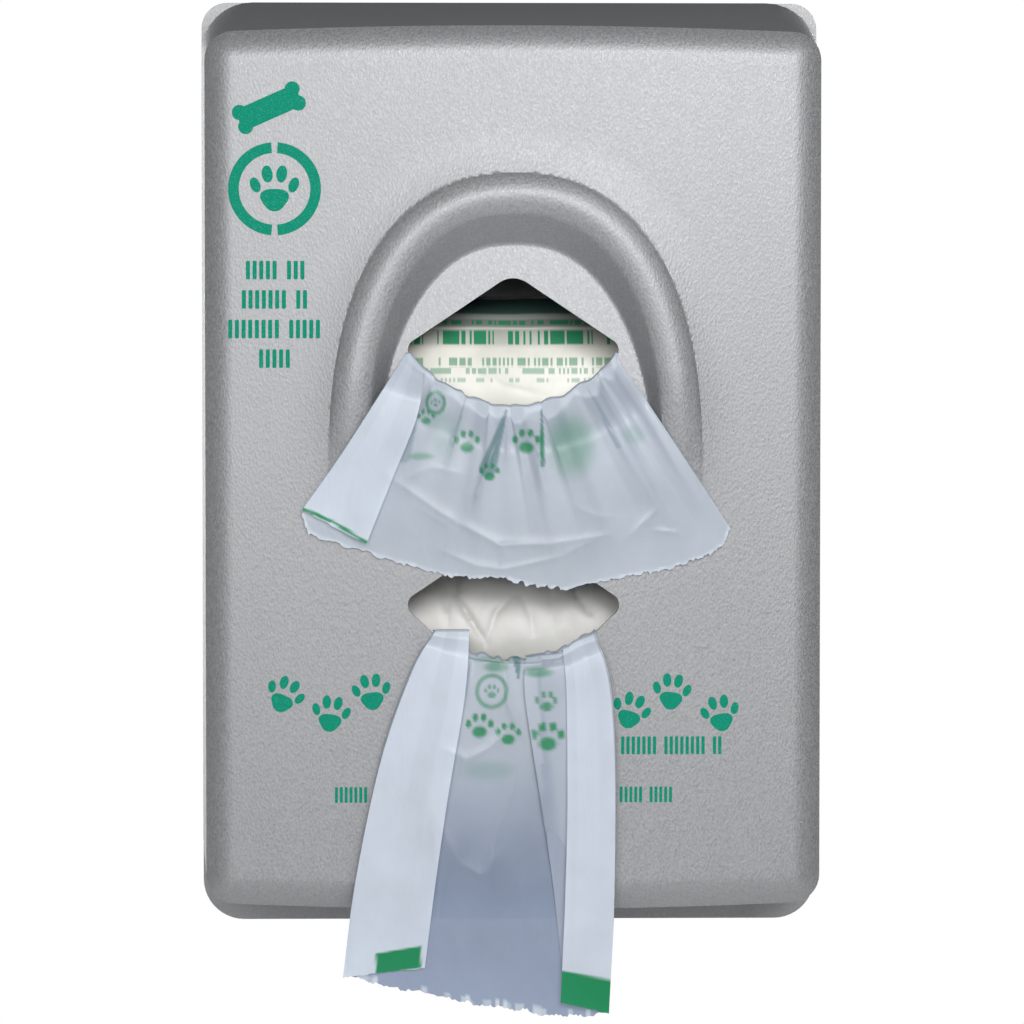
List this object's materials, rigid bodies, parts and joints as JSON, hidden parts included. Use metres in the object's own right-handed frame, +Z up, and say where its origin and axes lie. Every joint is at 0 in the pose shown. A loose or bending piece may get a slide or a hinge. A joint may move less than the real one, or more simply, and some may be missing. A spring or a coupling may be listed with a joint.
{
  "type": "dog waste bag dispenser",
  "caption": "Wall-mounted dispenser with a hinged, locking plastic cover over rolls of dog waste bags; bags are pulled down through eye-shaped openings under an arch.",
  "frame": {"origin": "centre of the four wall holes, on the back plate's rear face", "axes": "+X to the right, +Z up, +Y into the wall; the cover faces -Y"},
  "size_m": [0.2422, 0.113, 0.381],
  "materials": {
    "back_plate": "satin moulded plastic, finely textured",
    "cover": "silver-grey moulded plastic with a haircell grain",
    "ink": "flat green screen print",
    "bracket": "zinc plated sheet",
    "rod": "drawn steel bar",
    "clip": "dark spring steel",
    "screw": "zinc plated",
    "spindle": "moulded plastic",
    "core": "wound card",
    "roll_film": "wound compostable film, satin",
    "bag_film": "thin translucent film, satin",
    "bag_print": "flat green flexographic print",
    "hinge": "zinc plated steel",
    "pin": "ground steel",
    "lock": "chromed die casting",
    "plug": "turned brass"
  },
  "bodies": {
    "root": {"back_plate": "back_plate", "left_bracket": "bracket", "right_bracket": "bracket", "bracket_screws": "screw", "upper_rod": "rod", "lower_rod": "rod", "rod_clips": "clip", "upper_hinge_plate_leaf": "hinge", "lower_hinge_plate_leaf": "hinge", "upper_hinge_pin": "pin", "lower_hinge_pin": "pin", "hinge_plate_screws": "screw", "lock_keeper": "bracket", "keeper_screws": "screw"},
    "cover": {"front_cover": "cover", "upper_hinge_cover_leaf": "hinge", "lower_hinge_cover_leaf": "hinge", "hinge_cover_screws": "screw", "lock_housing": "lock", "lock_washer": "screw", "lock_nut": "screw", "upper_bag": "bag_film", "lower_bag": "bag_film"},
    "lock": {"lock_plug": "plug", "lock_cam": "hinge", "cam_screw": "screw"},
    "upper_spool": {"upper_spindle": "spindle", "upper_core": "core", "upper_roll": "roll_film"},
    "lower_spool": {"lower_spindle": "spindle", "lower_core": "core", "lower_roll": "roll_film"}
  },
  "joints": [
    {"name": "cover_hinge", "type": "hinge", "parent": "root", "child": "cover", "pos_m": [0.1185, -0.012, 0], "axis": [0, 0, 1], "range_deg": [0, 95]},
    {"name": "lock_turn", "type": "hinge", "parent": "cover", "child": "lock", "pos_m": [-0.08, -0.038, -0.155], "axis": [0, 0, -1], "range_deg": [0, 90]},
    {"name": "upper_roll_spin", "type": "hinge", "parent": "root", "child": "upper_spool", "pos_m": [0, -0.05, 0.026], "axis": [1, 0, 0], "continuous": true},
    {"name": "lower_roll_spin", "type": "hinge", "parent": "root", "child": "lower_spool", "pos_m": [0, -0.05, -0.064], "axis": [1, 0, 0], "continuous": true}
  ]
}
